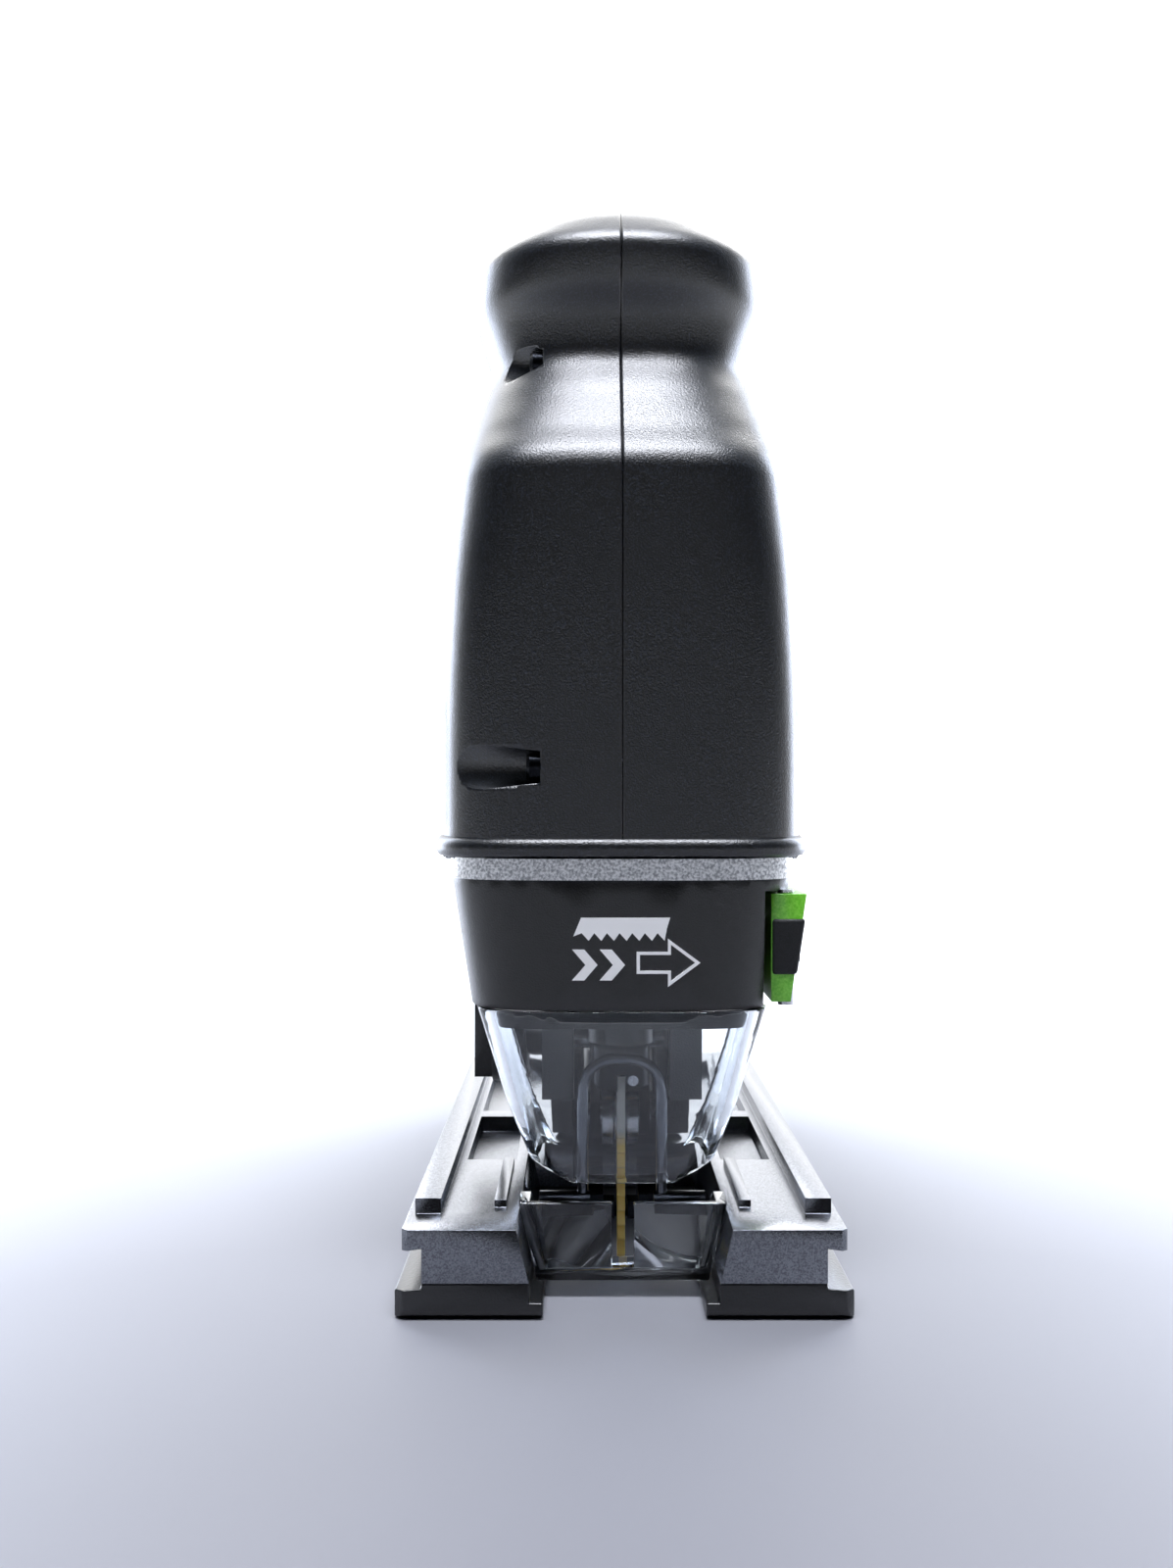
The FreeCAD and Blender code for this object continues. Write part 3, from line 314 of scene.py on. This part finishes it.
def rod_mesh(name, start, end, radius, end_radius=None):
    """A closed straight rod or cone between two points."""
    start, end = Vector(start), Vector(end)
    turn = (end - start).to_track_quat("Z", "Y")
    verts, faces = [], []
    for centre, r in ((start, radius), (end, radius if end_radius is None else end_radius)):
        for i in range(ROD_SIDES):
            angle = 2 * math.pi * i / ROD_SIDES
            verts.append(centre + turn @ Vector((r * math.cos(angle), r * math.sin(angle), 0)))
    for i in range(ROD_SIDES):
        j = (i + 1) % ROD_SIDES
        faces.append((i, j, ROD_SIDES + j, ROD_SIDES + i))
    faces += [tuple(reversed(range(ROD_SIDES))), tuple(range(ROD_SIDES, 2 * ROD_SIDES))]
    return new_piece(name, verts, faces, BLACK_NYLON)


def box_mesh(name, low, high, bevel=0.0, segments=3):
    """A closed box between two corners, with its edges rounded."""
    verts = [(x, y, z) for x in (low[0], high[0]) for y in (low[1], high[1]) for z in (low[2], high[2])]
    faces = [(0, 1, 3, 2), (4, 6, 7, 5), (0, 4, 5, 1), (2, 3, 7, 6), (0, 2, 6, 4), (1, 5, 7, 3)]
    piece = new_piece(name, verts, faces, BLACK_NYLON)
    outward(piece)
    if bevel:
        modifier = piece.modifiers.new("round", "BEVEL")
        modifier.width, modifier.segments = bevel * MM, segments
        apply_all(piece)
    return piece


VOXEL_MM = 0.95
WALL_MM = 2.6
RIPPLE_DEPTH, RIPPLE_PITCH = 0.42, 3.9
BOSS_INSET = 1.2  # keeps the bosses inside the wall
BOSS_WALL = 1.6


def housing_skin():
    """Tower, head and barrel grown into one skin, softened where the barrel leaves the tower."""
    skin = loft_mesh("housing_skin", TOWER, 40, True)
    boolean(skin, loft_mesh("head", HEAD, 90, True), "UNION")
    boolean(skin, loft_mesh("barrel", BARREL, 70, False), "UNION")
    remesh = skin.modifiers.new("even", "REMESH")
    remesh.mode, remesh.voxel_size, remesh.use_smooth_shade = "VOXEL", VOXEL_MM * MM, True
    apply_all(skin)
    group = skin.vertex_groups.new(name="junction")
    all_over = skin.vertex_groups.new(name="all_over")
    for vertex in skin.data.vertices:
        x, y, z = (c / MM for c in vertex.co)
        near = max(0.0, 1 - abs(y + 30) / 26) * (1.0 if 84 < z < 190 else 0.0)
        if near:
            group.add([vertex.index], min(1.0, 1.6 * near), "REPLACE")
        away = min(1.0, abs(z - 151) / 4) if y < -40 else 1.0
        edge = 0.0 if z < 81 else away
        all_over.add([vertex.index], edge, "REPLACE")
    for name, factor, turns in (("junction", 0.5, 40), ("all_over", 0.5, 6)):
        modifier = skin.modifiers.new(name, "SMOOTH")
        modifier.factor, modifier.iterations, modifier.vertex_group = factor, turns, name
    apply_all(skin)
    skin.vertex_groups.clear()
    for vertex in skin.data.vertices:  # ripples for the fingers low on both flanks of the tower
        x, y, z = (c / MM for c in vertex.co)
        if 84 < z < 112 and -104 < y < -48 and abs(x) > 33:
            fade = min(1, (z - 84) / 3, (112 - z) / 5, (y + 104) / 6, (-48 - y) / 6)
            vertex.co.x += math.copysign(RIPPLE_DEPTH * fade * math.sin(2 * math.pi * z / RIPPLE_PITCH), x) * MM
    return skin


def merged(pieces):
    """Closed pieces that lie apart, put into one object."""
    work = bmesh.new()
    for piece in pieces:
        work.from_mesh(piece.data)
        bpy.data.objects.remove(piece)
    whole = new_piece("merged", [], [], BLACK_NYLON)
    work.to_mesh(whole.data)
    work.free()
    return whole


SCREWS = [  # along X from the left: distance back, height, radius of the recess at the side and at the head
    (-110.5, 96, 4.7, 3.2), (-92.5, 174.5, 3.9, 3.2), (-37, 95.5, 4.0, 3.4),
    (48, 99, 4.0, 3.4), (48, 148, 4.0, 3.4), (100, 104, 3.8, 3.2)]
SCREW_SEAT = -15.0


def cut_housing(skin):
    """The wall, then the screw bosses inside it, then the recesses, slots and holes that the mould leaves."""
    core = skin.copy()
    core.data = skin.data.copy()
    bpy.context.collection.objects.link(core)
    inset = core.modifiers.new("inset", "DISPLACE")
    inset.strength, inset.mid_level = -BOSS_INSET * MM, 0.0
    apply_all(core)
    hollow = skin.modifiers.new("wall", "SOLIDIFY")
    hollow.thickness, hollow.offset = WALL_MM * MM, -1
    apply_all(skin)
    bosses = merged([rod_mesh("boss", (-40, back, height), (20, back, height), mouth + BOSS_WALL)
                     for back, height, mouth, foot in SCREWS])
    boolean(skin, boolean(bosses, core, "INTERSECT"), "UNION")
    cutters = [rod_mesh("recess", (-40, back, height), (SCREW_SEAT, back, height),
                        mouth + (mouth - foot) * 0.2, foot) for back, height, mouth, foot in SCREWS]
    opening = [(level, 31.9, FRONT + 2.8, -43, 4.6) for level in (70, 84)]
    cutters += [loft_mesh("bottom", opening, 2, True),
                rod_mesh("inlet_hole", (0, 108, 125), (0, 130, 125), 13.3),
                rod_mesh("dial_slot", (-3.6, 88, 148.5), (3.6, 88, 148.5), 11.2),
                box_mesh("switch_slot", (26, -20, 117.5), (40, 16, 126.5), bevel=1.5)]
    cutters += [box_mesh("air_slot", (-40, 60 + 5 * i, 105), (40, 62.2 + 5 * i, 117), bevel=1.0, segments=2)
                for i in range(7)]
    return boolean(skin, merged(cutters), "DIFFERENCE")


def half_shell(skin, side):
    """One half, cut just off the middle plane to leave the parting line, its cut side filled."""
    piece = skin.copy()
    piece.data = skin.data.copy()
    piece.name = "housing_half_" + ("right" if side > 0 else "left")
    bpy.context.collection.objects.link(piece)
    work = bmesh.new()
    work.from_mesh(piece.data)
    geometry = work.verts[:] + work.edges[:] + work.faces[:]
    cut = bmesh.ops.bisect_plane(work, geom=geometry, plane_co=(0.09 * side * MM, 0, 0), plane_no=(side, 0, 0),
                                 clear_inner=True)
    seam = [e for e in cut["geom_cut"] if isinstance(e, bmesh.types.BMEdge)]
    filled = bmesh.ops.holes_fill(work, edges=seam)
    bmesh.ops.triangulate(work, faces=filled["faces"])
    bmesh.ops.recalc_face_normals(work, faces=work.faces)
    work.to_mesh(piece.data)
    work.free()
    return piece


skin = cut_housing(housing_skin())
for side, node in ((-1, "housing_shell_left"), (1, "housing_shell_right")):
    half = half_shell(skin, side)
    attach(half, "housing")
    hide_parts(node)
bpy.data.objects.remove(skin)

# the bead round the lower rim is moulded on; it hides the joint to the cast head
bead_rows = [(79.3, 34.8, -1.0), (79.5, 35.6, 0.3), (80.2, 36.0, 0.8), (81.6, 36.1, 0.9), (82.5, 35.7, 0.4),
             (83.1, 35.0, -0.2), (82.6, 33.8, -1.4), (79.6, 33.8, -1.4)]
verts, faces, ROUND = [], [], 160
for level, half, out in bead_rows:
    verts += ring_points(level, half, FRONT - out, -38.4 + out, 4.6, ROUND, True)
for r in range(len(bead_rows)):
    s = (r + 1) % len(bead_rows)
    for i in range(ROUND):
        j = (i + 1) % ROUND
        faces.append((r * ROUND + i, r * ROUND + j, s * ROUND + j, s * ROUND + i))
bead = new_piece("housing_bead", verts, faces, BLACK_NYLON)
outward(bead)
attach(bead, "housing")


# ---- Gear head: cast housing ------------------------------------------------------------------
# Die-cast aluminium, shot blasted: a silver grainy band shows between the black halves and the cover.
# Below the band the casting is coated black, which hides the foot behind the clear shield.
def dress(node, material, bevel=0.0, segments=2, angle=32):
    """A CAD piece with its loose triangles joined, its edges eased and its finish put on."""
    piece = nodes[node]
    piece.data.polygons.foreach_set("use_smooth", [True] * len(piece.data.polygons))
    piece.data.materials.clear()
    piece.data.materials.append(material)
    weld = piece.modifiers.new("weld", "WELD")
    weld.merge_threshold = 0.004 * MM
    if bevel:
        ease = piece.modifiers.new("ease", "BEVEL")
        ease.width, ease.segments = bevel * MM, segments
        ease.limit_method, ease.angle_limit = "ANGLE", math.radians(angle)
        ease.harden_normals = True
    else:
        split = piece.modifiers.new("crease", "EDGE_SPLIT")
        split.split_angle = math.radians(angle)
    return piece


def cast_aluminium(name, dark, light, grain_mm, rough, depth=0.12, coated_below=None):
    material, tree, principled = new_material(name, Metallic=1.0, Roughness=rough)
    noise = grain_bump(tree, principled, grain_mm, depth, strength=0.5)
    tint = ramp(tree, noise.outputs["Fac"], [(0.35, dark), (0.62, light)])
    colour = tint.outputs["Color"]
    if coated_below:
        place = add_node(tree, "ShaderNodeSeparateXYZ", inputs={"Vector": object_coords(tree).outputs["Vector"]})
        high = add_node(tree, "ShaderNodeMath", {"operation": "GREATER_THAN"})
        tree.links.new(place.outputs["Z"], high.inputs[0])
        high.inputs[1].default_value = coated_below * MM
        coat = add_node(tree, "ShaderNodeMix", {"data_type": "RGBA"})
        tree.links.new(high.outputs["Value"], coat.inputs[0])
        coat.inputs[6].default_value = linear("#0B0C0E")
        tree.links.new(colour, coat.inputs[7])
        colour = coat.outputs[2]
        tree.links.new(high.outputs["Value"], principled.inputs["Metallic"])
    tree.links.new(colour, principled.inputs["Base Color"])
    return material


dress("gearbox_housing", cast_aluminium("blasted_cast_aluminium", "#9C9EA2", "#EDEEF0", 0.5, 0.36,
                                        coated_below=75.2))

# ---- Gear head: black cover with its print ----------------------------------------------------
# A thin moulding of black nylon pushed over the casting from the front; its print is a white pad print.
COVER_BLACK = nylon("black_cover_nylon", "#020304", "#0E1014", 0.3, 0.36)
dress("gear_head_cover", COVER_BLACK, bevel=0.35)

PRINT_WHITE, tree, principled = new_material("white_pad_print", Base_Color="#FFFFFF", Roughness=0.5)
grain_bump(tree, principled, 0.3, 0.01)


PRINT_PROUD, PRINT_SUNK = 0.06, 0.3


def printed(name, outline):
    """A flat mark a few hundredths proud of the cover's face, from corners across X and up Z."""
    proud = FRONT - PRINT_PROUD
    count = len(outline)
    verts = [(x, FRONT + PRINT_SUNK, z) for x, z in outline] + [(x, proud, z) for x, z in outline]
    faces = [tuple(range(count)), tuple(range(2 * count - 1, count - 1, -1))]
    faces += [(i, count + i, count + (i + 1) % count, (i + 1) % count) for i in range(count)]
    piece = new_piece(name, verts, faces, PRINT_WHITE, smooth=False)
    outward(piece)
    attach(piece, "housing")


def printed_outline(name, outer, inner):
    """A printed line that runs round between two loops of corners."""
    count = len(outer)
    verts = [(x, y, z) for loop in (outer, inner) for y in (FRONT - PRINT_PROUD, FRONT + PRINT_SUNK)
             for x, z in loop]
    faces = []
    for i in range(count):
        j = (i + 1) % count
        for a, b in ((0, 1), (1, 3), (3, 2), (2, 0)):
            faces.append((a * count + i, a * count + j, b * count + j, b * count + i))
    piece = new_piece(name, verts, faces, PRINT_WHITE, smooth=False)
    outward(piece)
    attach(piece, "housing")


blade_mark = [(-7.6, 68.6), (8.6, 68.6), (8.0, 66.6)]
for i in range(7):
    right = 7.6 - 2.3 * i
    blade_mark += [(right, 64.4), (right - 1.3, 65.8)]
blade_mark += [(-9.0, 65.2)]
printed("print_blade", blade_mark)
printed_outline("print_arrow",
                [(2.5, 58.4), (8.2, 58.4), (8.2, 56.0), (14.1, 60.4), (8.2, 64.8), (8.2, 62.4), (2.5, 62.4)],
                [(3.1, 58.95), (8.75, 58.95), (8.75, 57.1), (13.15, 60.4), (8.75, 63.7), (8.75, 61.85),
                 (3.1, 61.85)])
for i in range(2):
    left = -9.2 + 5.0 * i
    printed(f"print_chevron_{i}", [(left, 62.8), (left + 2.2, 62.8), (left + 4.6, 60.0), (left + 2.2, 57.2),
                                   (left, 57.2), (left + 2.4, 60.0)])

# ---- Blade release lever ----------------------------------------------------------------------
# A glossy green moulding hinged at its front end, with a soft black insert that the thumb pulls.
GREEN, tree, principled = new_material("green_moulded_plastic", Roughness=0.3, IOR=1.5, Coat_Weight=0.25)
noise = grain_bump(tree, principled, 0.4, 0.02)
tint = ramp(tree, noise.outputs["Fac"], [(0.3, "#63BE28"), (0.7, "#86D648")])
tree.links.new(tint.outputs["Color"], principled.inputs["Base Color"])
dress("release_lever", GREEN, bevel=0.9, segments=4)

RUBBER, tree, principled = new_material("black_soft_rubber", Roughness=0.55, IOR=1.5)
noise = grain_bump(tree, principled, 0.25, 0.05)
tint = ramp(tree, noise.outputs["Fac"], [(0.35, "#060708"), (0.7, "#15171B")])
tree.links.new(tint.outputs["Color"], principled.inputs["Base Color"])
profile = [(27.7, 57.6), (32.4, 57.6), (34.0, 68.0), (27.7, 68.0)]
verts = [(x, y, z) for y in (-107.4, -74.6) for x, z in profile]
faces = [(0, 1, 2, 3), (7, 6, 5, 4)] + [(i, 4 + i, 4 + (i + 1) % 4, (i + 1) % 4) for i in range(4)]
cover = new_piece("lever_grip_cover", verts, faces, RUBBER)
outward(cover)
ease = cover.modifiers.new("round", "BEVEL")
ease.width, ease.segments = 0.7 * MM, 3
apply_all(cover)
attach(cover, "lever")
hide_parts("lever_pad")


def rib_tree(material):
    """Geometry Nodes: a straight row of like ribs with soft ends, for grips."""
    tree = bpy.data.node_groups.new("rib_row", "GeometryNodeTree")
    for label, kind in (("Count", "NodeSocketInt"), ("Start", "NodeSocketVector"), ("Step", "NodeSocketVector"),
                        ("Rib Size", "NodeSocketVector")):
        tree.interface.new_socket(label, in_out="INPUT", socket_type=kind)
    tree.interface.new_socket("Geometry", in_out="OUTPUT", socket_type="NodeSocketGeometry")
    given = add_node(tree, "NodeGroupInput").outputs
    line = add_node(tree, "GeometryNodeMeshLine", {"mode": "OFFSET"}, {
        "Count": given["Count"], "Start Location": given["Start"], "Offset": given["Step"]})
    rib = add_node(tree, "GeometryNodeMeshCube", inputs={
        "Size": given["Rib Size"], "Vertices X": 3, "Vertices Y": 3, "Vertices Z": 5})
    soft = add_node(tree, "GeometryNodeSubdivisionSurface", inputs={"Mesh": rib.outputs["Mesh"], "Level": 1})
    row = add_node(tree, "GeometryNodeInstanceOnPoints", inputs={
        "Points": line.outputs["Mesh"], "Instance": soft.outputs["Mesh"]})
    real = add_node(tree, "GeometryNodeRealizeInstances", inputs={"Geometry": row.outputs["Instances"]})
    coated = add_node(tree, "GeometryNodeSetMaterial", inputs={
        "Geometry": real.outputs["Geometry"], "Material": material})
    add_node(tree, "NodeGroupOutput", inputs={"Geometry": coated.outputs["Geometry"]})
    return tree


def rib_row(name, tree, body, count, start, step, size):
    """One row of ribs as a plain mesh on a body; lengths in millimetres."""
    piece = new_piece(name, [], [], RUBBER)
    row = piece.modifiers.new("ribs", "NODES")
    row.node_group = tree
    values = {"Count": count, "Start": [c * MM for c in start], "Step": [c * MM for c in step],
              "Rib Size": [c * MM for c in size]}
    for item in tree.interface.items_tree:
        if item.in_out == "INPUT":
            row[item.identifier] = values[item.name]
    apply_all(piece)
    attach(piece, body)


RIBS = rib_tree(RUBBER)
rib_row("lever_ribs", RIBS, "lever", 8, (33.2, -101, 62.8), (0, 3.0, 0), (1.1, 1.3, 7.4))

# ---- Machined steel ---------------------------------------------------------------------------
# Ground and turned steel for what runs and guides; blackened steel for wire, clamp and screws.


def steel(name, colour, other, rough, along=(1, 1, 1)):
    material, tree, principled = new_material(name, Metallic=1.0, Roughness=rough)
    noise = grain_bump(tree, principled, 0.25, 0.02, scale=along)
    tint = ramp(tree, noise.outputs["Fac"], [(0.3, colour), (0.7, other)])
    tree.links.new(tint.outputs["Color"], principled.inputs["Base Color"])
    return material


GROUND_STEEL = steel("ground_steel", "#A9ABAF", "#D5D6D9", 0.24)
BLACK_STEEL = steel("blackened_steel", "#0F1013", "#232529", 0.26)
for node in ("plunger", "plunger_yoke", "gear_axle", "drive_gear", "eccentric_pin", "balance_weight",
             "armature_shaft", "drive_pinion", "front_bearing", "rear_bearing", "pendulum_roller", "roller_pin",
             "pendulum_pin", "lever_pivot_pin", "inlet_pins", "dial_pin", "clamp_pin"):
    dress(node, GROUND_STEEL)
for node in ("housing_screws", "blade_clamp", "guide_jaws", "pendulum_arm", "base_clamp_screw",
             "base_clamp_block", "window_clips"):
    dress(node, BLACK_STEEL)
dress("wire_guard", steel("dark_spring_wire", "#55575C", "#7A7D83", 0.14))

# ---- Saw blade --------------------------------------------------------------------------------
# A wood blade of ground steel: pale lacquered shank, golden toothed part with its teeth set left and right.
BLADE, tree, principled = new_material("lacquered_blade_steel", Metallic=0.0, Roughness=0.3)
place = add_node(tree, "ShaderNodeSeparateXYZ", inputs={"Vector": object_coords(tree).outputs["Vector"]})
height = add_node(tree, "ShaderNodeMapRange", inputs={
    "Value": place.outputs["Z"], "From Min": 24 * MM, "From Max": 27 * MM})
tint = ramp(tree, height.outputs["Result"], [(0.0, "#FFDD7E"), (1.0, "#FFFCF2")])
tree.links.new(tint.outputs["Color"], principled.inputs["Base Color"])
grain_bump(tree, principled, 0.3, 0.02, scale=(1, 1, 0.15))
dress("saw_blade", BLADE)

# ---- Clear guards -----------------------------------------------------------------------------
# Injection-moulded clear polycarbonate: thick bright edges, faint flow lines, slight blue cast.
CLEAR, tree, principled = new_material("clear_polycarbonate", Base_Color="#F2F7FB", Roughness=0.04, IOR=1.585,
                                       Transmission_Weight=1.0)
grain_bump(tree, principled, 9.0, 0.05, detail=1.0)
dress("chip_shield", CLEAR, bevel=0.3)
dress("base_window", CLEAR, bevel=0.25)
dress("shield_gasket", RUBBER)

# ---- Sole -------------------------------------------------------------------------------------
# A cast and milled aluminium table: near-white blasted top, darker faces; a black plastic shoe clips under it.
dress("base_table", cast_aluminium("blasted_aluminium_table", "#6E7076", "#94979D", 0.3, 0.25, 0.04), bevel=0.5)
dress("sliding_shoe", nylon("black_shoe_plastic", "#040506", "#0F1114", 0.5, 0.3), bevel=0.7, segments=3)

# ---- Plastic parts ----------------------------------------------------------------------------
# Plain black nylon mouldings: switch, dial, inlet, selector and dust outlet.
PLAIN_NYLON = nylon("moulded_black_nylon", "#0D0E10", "#222429", 0.4, 0.42)
for node in ("switch_slider", "speed_dial", "pendulum_selector", "dust_chute", "power_inlet"):
    dress(node, PLAIN_NYLON, bevel=0.3)
for node in ("cooling_fan", "brush_holders", "switch_block", "electronics_module", "carbon_brushes"):
    dress(node, PLAIN_NYLON)
for node in ("grip_pad_left", "grip_pad_right"):
    dress(node, RUBBER, bevel=0.4)
rib_row("left_grip_ribs", RIBS, "housing", 17, (-34.35, -13, 122), (0.12, 4.1, 0), (1.3, 1.6, 15))
rib_row("right_grip_ribs", RIBS, "housing", 8, (33.4, 24, 122), (-0.12, 4.1, 0), (1.3, 1.6, 15))

# ---- Motor and bushes -------------------------------------------------------------------------
# Hidden inside: copper windings, stacked laminations, turned copper bars and sintered bronze bushes.
COPPER = steel("enamelled_copper", "#8A3F1C", "#C9703A", 0.35)
LAMINATION = steel("stacked_laminations", "#4C4D51", "#7B7C80", 0.45, along=(1, 8, 1))
BRONZE = steel("sintered_bronze", "#9A6C34", "#C79A58", 0.45)
for node, material in (("armature_windings", COPPER), ("stator_windings", COPPER), ("commutator", COPPER),
                       ("armature_core", LAMINATION), ("stator_core", LAMINATION),
                       ("lower_bush", BRONZE), ("upper_bush", BRONZE)):
    dress(node, material)
